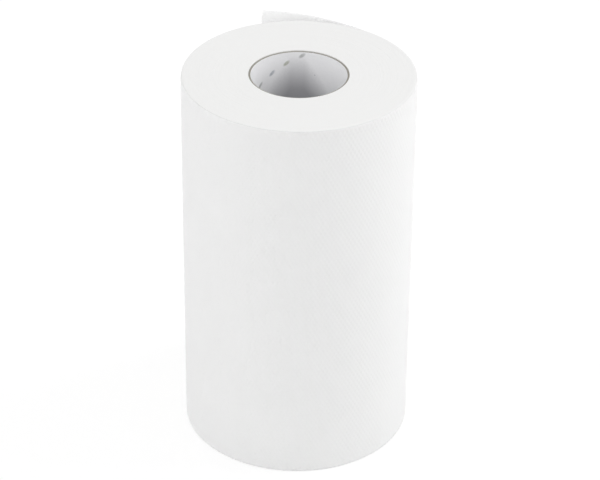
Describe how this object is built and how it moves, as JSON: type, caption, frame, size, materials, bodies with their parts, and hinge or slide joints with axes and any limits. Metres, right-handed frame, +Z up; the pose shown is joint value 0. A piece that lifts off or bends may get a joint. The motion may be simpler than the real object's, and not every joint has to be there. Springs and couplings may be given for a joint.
{
  "type": "paper towel roll",
  "caption": "Roll of white embossed paper towel wound on a card tube, standing on its end, with the loose end of the sheet lifting away behind.",
  "frame": {"origin": "on the card tube's axis, in the plane of the lower end that the roll stands on", "axes": "+Z up the tube's axis; the loose end of the sheet is on the +Y side, and +X is to the right of a viewer who looks along +Y"},
  "size_m": [0.1196, 0.1336, 0.205],
  "materials": {
    "tissue": "matte embossed tissue",
    "card": "matte grey card"
  },
  "bodies": {
    "root": {"paper_roll": "tissue", "card_core": "card"}
  },
  "joints": []
}
